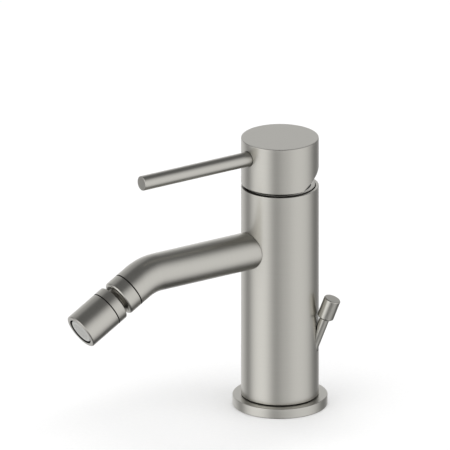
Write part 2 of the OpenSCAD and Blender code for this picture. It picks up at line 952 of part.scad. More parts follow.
module handle_cap() {
    cavity_z = cap_z + cap_cavity;
    cavity_r = cap_r - cap_wall;
    grub_end = socket_r + grub_l + over;
    color(metal)
        difference() {
            turned_post(cap_r, cap_z, cap_top, 0, edge);
            pipe(cavity_r, boss_r, cap_z - over, cavity_z);
            translate([-socket_r, -socket_r, cap_z - over])
                cube([2 * socket_r, 2 * socket_r, socket_top - cap_z + over]);
            cap_relief();
            forward(lever_z) {
                post(lever_r + slip_fit, seat_y, far);
                post(lever_r + edge, cap_r - 2 * edge, far);
                post(tail_d / 2 + slip_fit, seat_y - tail_l - slip_fit, seat_y + over);
                post(grub_r + slip_fit, -grub_end, 0);
                post(plug_r + slip_fit, -far, -grub_end + seal_fit);
            }
        }
}

module lever_rod() {
    color(metal)
        forward(lever_z) {
            turned_post(lever_r, seat_y, lever_reach, 0, edge);
            post(tail_d / 2, seat_y - tail_l, seat_y + over);
        }
}

module grub_screw() {
    hex_w = grub_d / 2;
    color(steel)
        forward(lever_z)
            difference() {
                post(grub_r, -square_r - grub_l, -square_r);
                translate([0, 0, -square_r - grub_l - over])
                    cylinder(d = hex_w / cos(30), h = grub_l / 2 + over, $fn = 6);
            }
}

module screw_plug() {
    color(metal)
        intersection() {
            forward(lever_z)
                post(plug_r, -cap_r - over, plug_l - cap_r);
            post(cap_r - edge / 2, lever_z - plug_d, lever_z + plug_d);
        }
}

module rod_bush() {
    color(white_plastic)
        at_rod()
            pipe(bush_r, rod_r + run_fit, bush_top - bush_l, bush_top);
}

module rod_o_ring() {
    color(rubber)
        at_rod()
            o_ring(rod_r + run_fit + o_ring_d / 2, -bush_depth - o_ring_d / 2 - seal_fit, o_ring_d);
}

module lift_rod() {
    color(metal)
        at_rod()
            difference() {
                union() {
                    turned_post(rod_r, -rod_in, rod_out, edge / 2, 0);
                    post(knob_thread_d / 2, rod_out - over, rod_out + knob_thread_l);
                }
                post(link_d / 2, -rod_in - over, link_depth - rod_in);
            }
}

module lift_knob() {
    color(metal)
        at_rod()
            difference() {
                turned_post(knob_d / 2, rod_out, rod_out + knob_l, knob_edge, edge);
                post(knob_thread_d / 2 + slip_fit, rod_out - over, rod_out + knob_thread_l + slip_fit);
            }
}

body();
base_flange();
base_gasket();
spout();
spout_seal();
swivel_collar();
seat_o_ring();
cartridge_housing();
cartridge_base();
port_seals();
fixed_disc();
cartridge_nut();
dome_ring();
rod_bush();
rod_o_ring();
rotor();
pivot_pin();
rotor_seal();
lever_stem();
handle_cap();
lever_rod();
grub_screw();
screw_plug();
disc_carrier();
moving_disc();
ball_seat();
swivel_ball();
nozzle_ring();
nozzle_seal();
nozzle_housing();
aerator_washer();
aerator_body();
aerator_screen();
aerator_grid();
lift_rod();
lift_knob();
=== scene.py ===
import json
import math

import bpy
from mathutils import Euler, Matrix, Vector


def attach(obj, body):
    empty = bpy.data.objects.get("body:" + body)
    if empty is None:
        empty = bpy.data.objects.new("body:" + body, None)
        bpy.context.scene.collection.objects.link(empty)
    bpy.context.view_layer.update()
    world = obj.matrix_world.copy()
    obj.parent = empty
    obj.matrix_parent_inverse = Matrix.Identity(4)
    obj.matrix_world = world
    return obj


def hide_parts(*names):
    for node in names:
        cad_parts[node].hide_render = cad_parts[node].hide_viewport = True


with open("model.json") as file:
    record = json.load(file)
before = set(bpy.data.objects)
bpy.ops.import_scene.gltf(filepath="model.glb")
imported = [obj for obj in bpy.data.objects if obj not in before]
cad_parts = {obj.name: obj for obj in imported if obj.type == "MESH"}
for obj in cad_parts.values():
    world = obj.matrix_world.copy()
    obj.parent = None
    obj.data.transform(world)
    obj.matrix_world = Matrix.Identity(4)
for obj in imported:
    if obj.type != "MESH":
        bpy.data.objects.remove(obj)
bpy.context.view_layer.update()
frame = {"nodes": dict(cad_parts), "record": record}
nodes = frame["nodes"]
print("frame loaded:", len(nodes), "nodes")

mm = 0.001  # settings of the pieces are in mm, those of the stage in metres
sliver = 0.002  # shortest edge in mm that a cut may leave
weld = 0.001  # distance in mm within which points become one
past = 1.0  # length in mm that a cutter runs past the face it cuts
nearby = 0.05  # room in mm when faces are chosen by their place
drillSteps = 64  # sides of a drilled hole
steep = 0.1  # most slope of a face that counts as a wall
scene = bpy.context.scene
scene.view_settings.view_transform = "Standard"


# small tools of the bench

def makeActive(piece):
    bpy.ops.object.select_all(action="DESELECT")
    piece.select_set(True)
    bpy.context.view_layer.objects.active = piece


def keepModifiers(piece):
    makeActive(piece)
    for modifier in list(piece.modifiers):
        bpy.ops.object.modifier_apply(modifier=modifier.name)


def settle(piece, origin=(0, 0, 0), turn=0.0, swing=0.0):
    # tips a piece about x, swings it about z, moves it and puts all three into its mesh
    makeActive(piece)
    piece.rotation_euler = (math.radians(turn), 0, math.radians(swing))
    piece.location = [value * mm for value in origin]
    bpy.ops.object.transform_apply(location=True, rotation=True, scale=True)
    return piece


def arc(centre, radius, start, end, count=8):
    # points on a round corner of an outline, angles in degrees from the radial direction
    points = []
    for step in range(count + 1):
        angle = math.radians(start + (end - start) * step / count)
        points.append((centre[0] + radius * math.cos(angle), centre[1] + radius * math.sin(angle)))
    return points


def rows(radius, low, high, count):
    # points that divide a straight wall into even rows
    return [(radius, low + (high - low) * step / count) for step in range(count + 1)]


def turned(name, outline, steps=128, closed=True):
    # one vertex is drawn along the outline (radius, height) and spun round the axis like work on a lathe
    bpy.ops.object.select_all(action="DESELECT")
    bpy.ops.mesh.primitive_plane_add(size=mm)
    piece = bpy.context.active_object
    piece.name = name
    piece.data.name = name
    bpy.ops.object.mode_set(mode="EDIT")
    bpy.ops.mesh.select_all(action="SELECT")
    bpy.ops.mesh.merge(type="CENTER")
    path = list(outline) + ([outline[0]] if closed else [])
    bpy.ops.transform.translate(value=(path[0][0] * mm, 0, path[0][1] * mm))
    for before, after in zip(path, path[1:]):
        move = ((after[0] - before[0]) * mm, 0, (after[1] - before[1]) * mm)
        bpy.ops.mesh.extrude_region_move(TRANSFORM_OT_translate={"value": move})
    bpy.ops.mesh.select_all(action="SELECT")
    bpy.ops.mesh.spin(steps=steps, angle=2 * math.pi, center=(0, 0, 0), axis=(0, 0, 1))
    bpy.ops.mesh.select_all(action="SELECT")
    bpy.ops.mesh.remove_doubles(threshold=weld * mm)
    bpy.ops.mesh.normals_make_consistent(inside=False)
    bpy.ops.object.mode_set(mode="OBJECT")
    return piece


def bar(name, radius, low, high, steps=drillSteps):
    # plain round bar along the axis, for drilling or as a start
    return turned(name, [(0, low), (radius, low), (radius, high), (0, high)], steps, closed=False)


def soften(piece, width, segments=3, angle=35):
    # small round on every sharp edge
    bevel = piece.modifiers.new("soften", "BEVEL")
    bevel.width = width * mm
    bevel.segments = segments
    bevel.limit_method = "ANGLE"
    bevel.angle_limit = math.radians(angle)
    bevel.use_clamp_overlap = True
    keepModifiers(piece)


def combine(piece, other, operation):
    boolean = piece.modifiers.new("combine", "BOOLEAN")
    boolean.operation = operation
    boolean.solver = "EXACT"
    boolean.object = other
    keepModifiers(piece)
    bpy.data.objects.remove(other)


def cut(piece, cutter):
    combine(piece, cutter, "DIFFERENCE")


def join(piece, other):
    combine(piece, other, "UNION")


def handOver(piece, body, replacedNodes, material, smoothAngle=32):
    makeActive(piece)
    bpy.ops.object.mode_set(mode="EDIT")
    bpy.ops.mesh.select_all(action="SELECT")
    bpy.ops.mesh.remove_doubles(threshold=sliver * mm)
    bpy.ops.mesh.dissolve_degenerate(threshold=sliver * mm)
    bpy.ops.object.mode_set(mode="OBJECT")
    bpy.ops.object.shade_smooth_by_angle(angle=math.radians(smoothAngle))
    flatten = piece.modifiers.new("flatten", "WEIGHTED_NORMAL")  # wide faces stay flat beside round edges
    flatten.keep_sharp = True
    keepModifiers(piece)
    piece.data.materials.clear()
    piece.data.materials.append(material)
    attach(piece, body)
    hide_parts(*replacedNodes)


def refinishOrShade(piece, material, chosen, origin=(0, 0, 0), turn=0.0, swing=0.0):
    # another finish, or painted shade, on the faces that are chosen by radius, height and slope on an axis
    piece.data.materials.append(material)
    place = len(piece.data.materials) - 1
    back = Euler((math.radians(turn), 0, math.radians(swing))).to_matrix().inverted()
    for face in piece.data.polygons:
        centre = back @ (face.center / mm - Vector(origin))
        if chosen(math.hypot(centre.x, centre.y), centre.z, (back @ face.normal).z):
            face.material_index = place


# materials

def newMaterial(name):
    material = bpy.data.materials.new(name)
    material.use_nodes = True
    tree = material.node_tree
    return material, tree, tree.nodes["Principled BSDF"]


def grainCoordinates(tree, scale=(1, 1, 1), origin=(0, 0, 0), turn=0.0, swing=0.0):
    # the pattern's own axes, with z along the piece
    place = tree.nodes.new("ShaderNodeTexCoord")
    mapping = tree.nodes.new("ShaderNodeMapping")
    mapping.vector_type = "TEXTURE"
    mapping.inputs["Location"].default_value = [value * mm for value in origin]
    mapping.inputs["Rotation"].default_value = (math.radians(turn), 0, math.radians(swing))
    tree.links.new(place.outputs["Object"], mapping.inputs["Vector"])
    stretch = tree.nodes.new("ShaderNodeVectorMath")
    stretch.operation = "MULTIPLY"
    stretch.inputs[1].default_value = scale
    tree.links.new(mapping.outputs["Vector"], stretch.inputs[0])
    return stretch.outputs["Vector"]


def spread(tree, source, low, high, fromLow=0.3, fromHigh=0.7):
    span = tree.nodes.new("ShaderNodeMapRange")
    span.inputs["From Min"].default_value = fromLow
    span.inputs["From Max"].default_value = fromHigh
    span.inputs["To Min"].default_value = low
    span.inputs["To Max"].default_value = high
    tree.links.new(source, span.inputs["Value"])
    return span.outputs["Result"]


def noise(tree, vector, scale=1.0, detail=2.0):
    texture = tree.nodes.new("ShaderNodeTexNoise")
    texture.inputs["Scale"].default_value = scale
    texture.inputs["Detail"].default_value = detail
    tree.links.new(vector, texture.inputs["Vector"])
    return texture.outputs["Fac"]


def bump(tree, shader, height, strength, distance):
    relief = tree.nodes.new("ShaderNodeBump")
    relief.inputs["Strength"].default_value = strength
    relief.inputs["Distance"].default_value = distance * mm
    tree.links.new(height, relief.inputs["Height"])
    tree.links.new(relief.outputs["Normal"], shader.inputs["Normal"])


toneEnds = (0.25, 0.75)  # values of a pattern that get the darker and the lighter tone
plainBump = 0.3  # strength of the relief on plain finishes


def twoTone(tree, shader, factor, dark, light):
    tones = tree.nodes.new("ShaderNodeValToRGB")
    for element, position, colour in zip(tones.color_ramp.elements, toneEnds, (dark, light)):
        element.position = position
        element.color = (*colour, 1)
    tree.links.new(factor, tones.inputs["Fac"])
    tree.links.new(tones.outputs["Color"], shader.inputs["Base Color"])


nickel = {
    "dark": (0.538, 0.526, 0.488),
    "light": (0.562, 0.550, 0.510),
    "smooth": 0.285,
    "rough": 0.315,
    "alongScale": 3600,  # brush lines per metre, across the lines
    "aroundScale": 45,  # and along them
    "detail": 3.0,
    "bump": 0.12,
    "depth": 0.01,
}


def brushedNickel(name, across=False, **axis):
    # satin nickel with fine lines round the piece's axis, or straight across a flat face
    material, tree, shader = newMaterial(name)
    fine, long = nickel["alongScale"], nickel["aroundScale"]
    scale = (fine, long, long) if across else (long, long, fine)
    lines = noise(tree, grainCoordinates(tree, scale, **axis), detail=nickel["detail"])
    twoTone(tree, shader, lines, nickel["dark"], nickel["light"])
    tree.links.new(spread(tree, lines, nickel["smooth"], nickel["rough"]), shader.inputs["Roughness"])
    shader.inputs["Metallic"].default_value = 1.0
    bump(tree, shader, lines, nickel["bump"], nickel["depth"])
    return material


def plainFinish(name, dark, light, roughness, metallic, grain, detail, relief):
    # two tones in a fine mottle, grain counted per metre and relief in mm
    material, tree, shader = newMaterial(name)
    mottled = noise(tree, grainCoordinates(tree), grain, detail)
    twoTone(tree, shader, mottled, dark, light)
    tree.links.new(spread(tree, mottled, *roughness), shader.inputs["Roughness"])
    shader.inputs["Metallic"].default_value = metallic
    bump(tree, shader, mottled, plainBump, relief)
    return material


spoutEnd = {"origin": (0, -105.1850, 91.1061), "turn": 119.5}
rodAxis = {"origin": (17.236, 14.4627, 43), "turn": -20.7, "swing": -50}
leverAxis = {"origin": (0, 0, 154.5), "turn": 90}
spoutAxis = {"origin": (0, 0, 98), "turn": 90}

columnNickel = brushedNickel("columnNickel")
spoutNickel = brushedNickel("spoutNickel", **spoutAxis)
nozzleNickel = brushedNickel("nozzleNickel", **spoutEnd)
leverNickel = brushedNickel("leverNickel", **leverAxis)
rodNickel = brushedNickel("rodNickel", **rodAxis)
topNickel = brushedNickel("topNickel", across=True)

plainFinishesAndShades = {
    # slot or place: name, darker and lighter tone, least and most roughness, metal, grain, detail, relief
    "brass": ("turnedBrass", (0.62, 0.47, 0.22), (0.70, 0.55, 0.28), (0.28, 0.38), 1.0, 900, 2, 0.01),
    "steel": ("turnedSteel", (0.42, 0.42, 0.41), (0.52, 0.52, 0.51), (0.30, 0.42), 1.0, 1200, 2, 0.01),
    "rubber": ("sealRubber", (0.018, 0.018, 0.018), (0.032, 0.032, 0.031), (0.62, 0.75), 0.0, 700, 3, 0.02),
    "ceramic": ("lappedCeramic", (0.80, 0.77, 0.70), (0.87, 0.84, 0.78), (0.18, 0.26), 0.0, 1500, 3, 0.004),
    "white_plastic": ("whitePlastic", (0.76, 0.76, 0.72), (0.82, 0.82, 0.79), (0.4, 0.5), 0.0, 1100, 3, 0.01),
    "grey_plastic": ("greyPlastic", (0.44, 0.45, 0.45), (0.50, 0.51, 0.51), (0.4, 0.5), 0.0, 1100, 3, 0.01),
    # painted shade: near-black metal for recesses, bores, grooves and undersides where shade falls
    "inside": ("paintedShade", (0.030, 0.028, 0.025), (0.045, 0.042, 0.037), (0.5, 0.6), 0.6, 1400, 3, 0.01),
    # painted shade: nickel darkened to stand for the shade on the swivel ball inside its gap
    "ball": ("ballPaintedShade", (0.14, 0.13, 0.11), (0.18, 0.17, 0.15), (0.25, 0.35), 1.0, 1400, 3, 0.01),
    "tip": ("aeratorPale", (0.485, 0.485, 0.465), (0.535, 0.535, 0.515), (0.42, 0.5), 0.0, 1600, 3, 0.006),
}
finishesAndShades = {use: plainFinish(*settings) for use, settings in plainFinishesAndShades.items()}
paintedShade = finishesAndShades["inside"]
ballPaintedShade = finishesAndShades["ball"]
aeratorPale = finishesAndShades["tip"]
for part in frame["record"]["subparts"]:
    cadPiece = nodes[part["node"]]
    cadPiece.data.materials.clear()
    cadPiece.data.materials.append(finishesAndShades.get(part["material_slot"], columnNickel))
print("materials made")


# column

column = {
    "radius": 22.5, "low": 6.5, "top": 134.0, "footRadius": 19.0, "grooveRadius": 20.5, "flangeTop": 6.0,
    "recessRadius": 20.7, "recess": 130.6, "threadRadius": 19.0, "threadLow": 122.0,
    "chamberRadius": 17.5, "chamberFloor": 107.0, "edge": 0.35,
    "inletX": 6.0, "inletY": -6.1, "hoseRadius": 5.0, "hoseDepth": 14.0, "hosePitch": 1.0,
    "waterRadius": 2.5, "outletY": 5.5, "outletRadius": 3.5, "crossRadius": 2.0, "crossStep": 5.0,
    "studY": -14.0, "studRadius": 4.0, "studDepth": 20.0, "studPitch": 1.25,
    "socketRadius": 7.6, "socketEnd": 14.0, "socketOut": 30.0,
    "rodBore": 3.2, "rodMouth": 0.4, "rodOut": 10.0, "rodIn": -60.0, "bushBore": 4.25, "bushDepth": 14.64,
    "rows": 18, "steps": 180,
}
thread = {"ridge": 0.32, "lead": 0.4, "runOut": 0.2, "drillTip": 1.2}  # ridge as a share of the pitch


def threadedHole(name, radius, depth, pitch):
    # cutter with thread ridges, from below the deck to the hole's end
    ridge = thread["ridge"] * pitch
    outline = [(0, -past), (radius + thread["lead"], -past), (radius + thread["lead"], 0.0)]
    height = thread["lead"]
    while height < depth - pitch:
        outline += [(radius - ridge, height), (radius, height + pitch / 2)]
        height += pitch
    outline += [(radius - ridge, depth - thread["runOut"]), (0, depth + thread["drillTip"])]
    return turned(name, outline, drillSteps, closed=False)


wall = rows(column["radius"], column["low"], column["top"], column["rows"])
columnPiece = turned("column", [
    (0, 0), (column["footRadius"], 0), (column["footRadius"], column["flangeTop"]),
    (column["grooveRadius"], column["flangeTop"]), (column["grooveRadius"], column["low"])]
    + wall + [
    (column["recessRadius"], column["top"]), (column["recessRadius"], column["recess"]),
    (column["threadRadius"], column["recess"]), (column["threadRadius"], column["threadLow"]),
    (column["chamberRadius"], column["threadLow"]), (column["chamberRadius"], column["chamberFloor"]),
    (0, column["chamberFloor"])], column["steps"], closed=False)
soften(columnPiece, column["edge"])
chamberOut = column["chamberFloor"] + past
for side in (-1, 1):
    inlet = threadedHole("inletCutter", column["hoseRadius"], column["hoseDepth"], column["hosePitch"])
    passage = bar("passageCutter", column["waterRadius"], column["hoseDepth"] - past, chamberOut)
    for drill in (inlet, passage):
        cut(columnPiece, settle(drill, (side * column["inletX"], column["inletY"], 0)))
studHole = threadedHole("studCutter", column["studRadius"], column["studDepth"], column["studPitch"])
cut(columnPiece, settle(studHole, (0, column["studY"], 0)))
spoutHeight = spoutAxis["origin"][2]
outlet = bar("outletCutter", column["outletRadius"], spoutHeight - column["crossStep"] / 2, chamberOut)
cut(columnPiece, settle(outlet, (0, column["outletY"], 0)))
for side in (-1, 1):
    cross = bar("crossCutter", column["crossRadius"], -column["outletY"], column["socketEnd"] + past)
    cut(columnPiece, settle(cross, (0, 0, spoutHeight + side * column["crossStep"] / 2), spoutAxis["turn"]))
rodHole = turned("rodCutter", [
    (0, column["rodOut"]), (column["rodBore"] + column["rodMouth"], column["rodOut"]),
    (column["rodBore"], 0.0), (column["rodBore"], -column["bushDepth"]),
    (column["bushBore"], -column["bushDepth"]), (column["bushBore"], column["rodIn"]), (0, column["rodIn"])],
    drillSteps, closed=False)
cut(columnPiece, settle(rodHole, **rodAxis))
spoutSocket = bar("socketCutter", column["socketRadius"], column["socketEnd"], column["socketOut"])
cut(columnPiece, settle(spoutSocket, **spoutAxis))
handOver(columnPiece, "mixer_body", ["body"], columnNickel)
# painted shade: near-black metal in the column's top recess, bores, shadow groove at the foot and the lift
# rod's hole
refinishOrShade(columnPiece, paintedShade, lambda radius, height, slope: radius < column["recessRadius"] + nearby)
refinishOrShade(columnPiece, paintedShade, lambda radius, height, slope: radius < column["rodBore"] + 2 * nearby
         and abs(slope) < steep and height < column["rodOut"], **rodAxis)
print("column made")

# flange on the deck

flange = {"radius": 27.5, "inner": 19.1, "height": 6.0, "edge": 0.45, "grooveInner": 21.75,
          "grooveOuter": 24.75, "grooveHeight": 2.0, "steps": 180}
flangePiece = turned("baseFlange", [
    (flange["inner"], 0), (flange["grooveInner"], 0), (flange["grooveInner"], flange["grooveHeight"]),
    (flange["grooveOuter"], flange["grooveHeight"]), (flange["grooveOuter"], 0), (flange["radius"], 0),
    (flange["radius"], flange["height"]), (flange["inner"], flange["height"])], flange["steps"])
soften(flangePiece, flange["edge"])
handOver(flangePiece, "mixer_body", ["base_flange"], columnNickel)

# dome ring in the column's top

dome = {"radius": 20.3, "bore": 11.5, "top": 134.6, "plate": 1.6, "low": 130.6, "skirt": 1.2, "edge": 0.15,
        "rimInner": 18.2, "dip": 0.3, "steps": 160}
skirtInner = dome["radius"] - dome["skirt"]
plateLow = dome["top"] - dome["plate"]
dishFloor = dome["top"] - dome["dip"]
domePiece = turned("domeRing", [
    (dome["bore"], plateLow), (skirtInner, plateLow), (skirtInner, dome["low"]),
    (dome["radius"], dome["low"]), (dome["radius"], dome["top"]), (dome["rimInner"], dome["top"]),
    (dome["rimInner"] - dome["dip"], dishFloor), (dome["bore"], dishFloor)], dome["steps"])
soften(domePiece, dome["edge"])
handOver(domePiece, "mixer_body", ["dome_ring"], columnNickel)
# painted shade: the dome ring's dish, skirt and underside beneath the cap get the near-black metal
refinishOrShade(domePiece, paintedShade, lambda radius, height, slope: height < dome["top"] - dome["edge"] - nearby)
print("flange and dome ring made")

# spout

spout = {
    "radius": 11.0, "height": 98.0, "corner": 93.0, "bend": 29.5, "bendRadius": 28.0, "tail": 14.0,
    "inside": 10.0, "around": 128, "bendSteps": 24, "straightRows": 10, "edge": 0.15,
    "saddleRadius": 22.7, "saddleLow": 60.0, "saddleHigh": 130.0, "saddleSteps": 180,
    "tenonRadius": 7.5, "tenonEnd": 14.1, "tenonRoot": 30.0, "tenonBore": 5.5,
    "tenonSeal": 18.25, "sealWidth": 1.3, "sealDepth": 1.2, "bore": 6.5, "boreStart": 21.5,
    "nipple": 9.9, "nippleEnd": 2.5, "socket": 8.7, "socketDepth": 6.0, "socketOut": 5.0, "endSteps": 96,
}


def bentBar(name, radius, start):
    # a round face goes straight out, spins through the bend and runs on to the end
    turn = math.radians(spout["bend"])
    tangent = spout["bendRadius"] * math.tan(turn / 2)
    bpy.ops.object.select_all(action="DESELECT")
    bpy.ops.mesh.primitive_circle_add(vertices=spout["around"], radius=radius * mm, fill_type="NGON",
                                      location=(0, -start * mm, spout["height"] * mm),
                                      rotation=(math.radians(90), 0, 0))
    piece = bpy.context.active_object
    piece.name = name
    piece.data.name = name
    bpy.ops.object.transform_apply(location=True, rotation=True, scale=True)
    bpy.ops.object.mode_set(mode="EDIT")
    bpy.ops.mesh.select_all(action="SELECT")
    straight = (spout["corner"] - tangent - start) / spout["straightRows"]
    for row in range(spout["straightRows"]):
        bpy.ops.mesh.extrude_region_move(TRANSFORM_OT_translate={"value": (0, -straight * mm, 0)})
    bendCentre = (0, (tangent - spout["corner"]) * mm, (spout["height"] - spout["bendRadius"]) * mm)
    bpy.ops.mesh.spin(steps=spout["bendSteps"], angle=-turn, axis=(1, 0, 0), center=bendCentre)
    run = (spout["tail"] - tangent) * mm
    bpy.ops.mesh.extrude_region_move(
        TRANSFORM_OT_translate={"value": (0, -run * math.cos(turn), -run * math.sin(turn))})
    bpy.ops.mesh.select_all(action="SELECT")
    bpy.ops.mesh.remove_doubles(threshold=weld * mm)
    bpy.ops.mesh.normals_make_consistent(inside=False)
    bpy.ops.object.mode_set(mode="OBJECT")
    return piece


spoutPiece = bentBar("spoutTube", spout["radius"], spout["inside"])
saddle = bar("saddleCutter", spout["saddleRadius"], spout["saddleLow"], spout["saddleHigh"],
             spout["saddleSteps"])
cut(spoutPiece, saddle)
soften(spoutPiece, spout["edge"], segments=2, angle=60)
nipple = bar("nipple", spout["nipple"], -past, spout["nippleEnd"], spout["endSteps"])
join(spoutPiece, settle(nipple, **spoutEnd))
ballRoom = bar("ballRoomCutter", spout["socket"], -spout["socketDepth"], spout["socketOut"],
               spout["endSteps"])
cut(spoutPiece, settle(ballRoom, **spoutEnd))
sealInner = spout["tenonRadius"] - spout["sealDepth"]
sealLow, sealHigh = (spout["tenonSeal"] + side * spout["sealWidth"] / 2 for side in (-1, 1))
tenon = turned("tenon", [
    (0, spout["tenonEnd"]), (spout["tenonRadius"], spout["tenonEnd"]), (spout["tenonRadius"], sealLow),
    (sealInner, sealLow), (sealInner, sealHigh), (spout["tenonRadius"], sealHigh),
    (spout["tenonRadius"], spout["tenonRoot"]), (0, spout["tenonRoot"])], drillSteps, closed=False)
join(spoutPiece, settle(tenon, **spoutAxis))
cut(spoutPiece, bentBar("boreCutter", spout["bore"], spout["boreStart"]))
tenonBore = bar("tenonCutter", spout["tenonBore"], spout["tenonEnd"] - past, spout["tenonRoot"])
cut(spoutPiece, settle(tenonBore, **spoutAxis))
handOver(spoutPiece, "mixer_body", ["spout"], spoutNickel)
# painted shade: the spout's end face and nipple at the swivel joint and its ball socket get the near-black
# metal
refinishOrShade(spoutPiece, paintedShade, lambda radius, height, slope: height > -spout["edge"] - nearby
         or radius < spout["socket"] + 2 * nearby and height > -spout["socketDepth"] - past, **spoutEnd)
print("spout made")

# ball swivel and nozzle, heights counted from the spout's end

swivel = {
    "radius": 11.0, "collarLow": 0.72, "collarEnd": 8.8, "collarRound": 1.3, "collarSteps": 144,
    "threadRadius": 10.0, "threadEnd": 2.6, "roomRadius": 8.75, "seatRadius": 8.65, "mouthAt": 7.4,
    "flare": 9.2,
    "ballAt": 4.2346, "ballRadius": 8.6, "ballLow": -1.5, "ballRows": 24, "bore": 4.5,
    "neck": 6.6, "neckEnd": 11.9, "neckFillet": 1.8, "tail": 6.0, "tailEnd": 16.9, "edge": 0.12,
}
seatAngle = math.degrees(math.asin((swivel["mouthAt"] - swivel["ballAt"]) / swivel["seatRadius"]))
collarPiece = turned("swivelCollar", [
    (swivel["threadRadius"], swivel["collarLow"]), (swivel["threadRadius"], swivel["threadEnd"]),
    (swivel["roomRadius"], swivel["threadEnd"]), (swivel["roomRadius"], swivel["ballAt"])]
    + arc((0, swivel["ballAt"]), swivel["seatRadius"], 0, seatAngle)
    + [(swivel["flare"], swivel["collarEnd"])]
    + arc((swivel["radius"] - swivel["collarRound"], swivel["collarEnd"] - swivel["collarRound"]),
          swivel["collarRound"], 90, 0)
    + [(swivel["radius"], swivel["collarLow"])], swivel["collarSteps"])
soften(collarPiece, swivel["edge"], segments=2)
handOver(settle(collarPiece, **spoutEnd), "mixer_body", ["swivel_collar"], nozzleNickel)
# painted shade: the collar's bore and ball seat and its end face at the spout joint get the near-black metal
refinishOrShade(collarPiece, paintedShade, lambda radius, height, slope: radius < swivel["flare"] - nearby
         and height < swivel["mouthAt"] or height < swivel["collarLow"] + swivel["edge"] + nearby, **spoutEnd)

neckAngle = math.degrees(math.acos(swivel["neck"] / swivel["ballRadius"]))
lowAngle = math.degrees(math.asin((swivel["ballLow"] - swivel["ballAt"]) / swivel["ballRadius"]))
ballPiece = turned("swivelBall", [(swivel["bore"], swivel["ballLow"])]
                   + arc((0, swivel["ballAt"]), swivel["ballRadius"], lowAngle, neckAngle, swivel["ballRows"])
                   + arc((swivel["neck"] + swivel["neckFillet"], swivel["neckEnd"] - swivel["neckFillet"]),
                         swivel["neckFillet"], 180, 90)
                   + [(swivel["tail"], swivel["neckEnd"]), (swivel["tail"], swivel["tailEnd"]),
                      (swivel["bore"], swivel["tailEnd"])])
soften(ballPiece, swivel["edge"], segments=2)
# the swivel ball gets the darkened nickel that paints its shade
handOver(settle(ballPiece, **spoutEnd), "nozzle", ["swivel_ball"], ballPaintedShade)

nozzle = {
    "radius": 11.0, "round": 0.8, "edge": 0.12, "steps": 144,
    "ringLow": 11.9, "ringEnd": 17.9, "tailBore": 6.1, "tailEnd": 17.0, "thread": 9.2, "threadEnd": 22.4,
    "housingLow": 18.4, "housingEnd": 39.0, "threadBore": 9.3, "stepLow": 23.4, "stepBore": 7.4,
    "washerLow": 25.8, "aeratorBore": 8.2, "gapBore": 8.5, "gapLow": 36.5,
}
roundAt = nozzle["radius"] - nozzle["round"]
ringPiece = turned("nozzleRing", [(nozzle["tailBore"], nozzle["ringLow"])]
                   + arc((roundAt, nozzle["ringLow"] + nozzle["round"]), nozzle["round"], -90, 0)
                   + [(nozzle["radius"], nozzle["ringEnd"]), (nozzle["thread"], nozzle["ringEnd"]),
                      (nozzle["thread"], nozzle["threadEnd"]), (nozzle["stepBore"], nozzle["threadEnd"]),
                      (nozzle["stepBore"], nozzle["tailEnd"]), (nozzle["tailBore"], nozzle["tailEnd"])],
                   nozzle["steps"])
soften(ringPiece, nozzle["edge"], segments=2)
handOver(settle(ringPiece, **spoutEnd), "nozzle", ["nozzle_ring"], nozzleNickel)
edgeRoom = nozzle["edge"] + nearby
# painted shade: the nozzle ring's end and thread spigot at the joint and its bore get the near-black metal
refinishOrShade(ringPiece, paintedShade, lambda radius, height, slope: height > nozzle["ringEnd"] - edgeRoom
         or radius < nozzle["stepBore"] + nearby and height > nozzle["ringLow"] + edgeRoom, **spoutEnd)

housingPiece = turned("nozzleHousing", [
    (nozzle["threadBore"], nozzle["housingLow"]), (nozzle["threadBore"], nozzle["stepLow"]),
    (nozzle["stepBore"], nozzle["stepLow"]), (nozzle["stepBore"], nozzle["washerLow"]),
    (nozzle["aeratorBore"], nozzle["washerLow"]), (nozzle["aeratorBore"], nozzle["gapLow"]),
    (nozzle["gapBore"], nozzle["gapLow"]), (nozzle["gapBore"], nozzle["housingEnd"])]
    + arc((roundAt, nozzle["housingEnd"] - nozzle["round"]), nozzle["round"], 90, 0)
    + [(nozzle["radius"], nozzle["housingLow"])], nozzle["steps"])
soften(housingPiece, nozzle["edge"], segments=2)
handOver(settle(housingPiece, **spoutEnd), "nozzle", ["nozzle_housing"], nozzleNickel)
# painted shade: the housing's bores, the gap round the aerator and its end face at the joint get the
# near-black metal
refinishOrShade(housingPiece, paintedShade, lambda radius, height, slope: radius < nozzle["gapBore"] + nearby
         or height < nozzle["housingLow"] + edgeRoom, **spoutEnd)
print("swivel and nozzle made")

# aerator in the nozzle's tip

aerator = {
    "radius": 8.1, "wall": 1.1, "low": 26.8, "face": 38.5, "edge": 0.2, "coneLength": 1.5, "faceRadius": 7.5,
    "gridRadius": 6.9, "gridLow": 37.0, "gridSteps": 96, "gridSmooth": 20,
    "cellAcross": 0.95, "cellPitch": 1.2, "cellDepth": 0.12,
}
aeratorInner = aerator["radius"] - aerator["wall"]
aeratorPiece = turned("aeratorBody", [
    (aeratorInner, aerator["low"]), (aerator["radius"], aerator["low"]),
    (aerator["radius"], aerator["gridLow"] - aerator["coneLength"]),
    (aerator["faceRadius"], aerator["gridLow"]), (aerator["faceRadius"], aerator["face"]),
    (aeratorInner, aerator["face"])])
soften(aeratorPiece, aerator["edge"])
handOver(settle(aeratorPiece, **spoutEnd), "nozzle", ["aerator_body"], aeratorPale)

gridPiece = bar("aeratorGrid", aerator["gridRadius"], aerator["gridLow"], aerator["face"],
                aerator["gridSteps"])


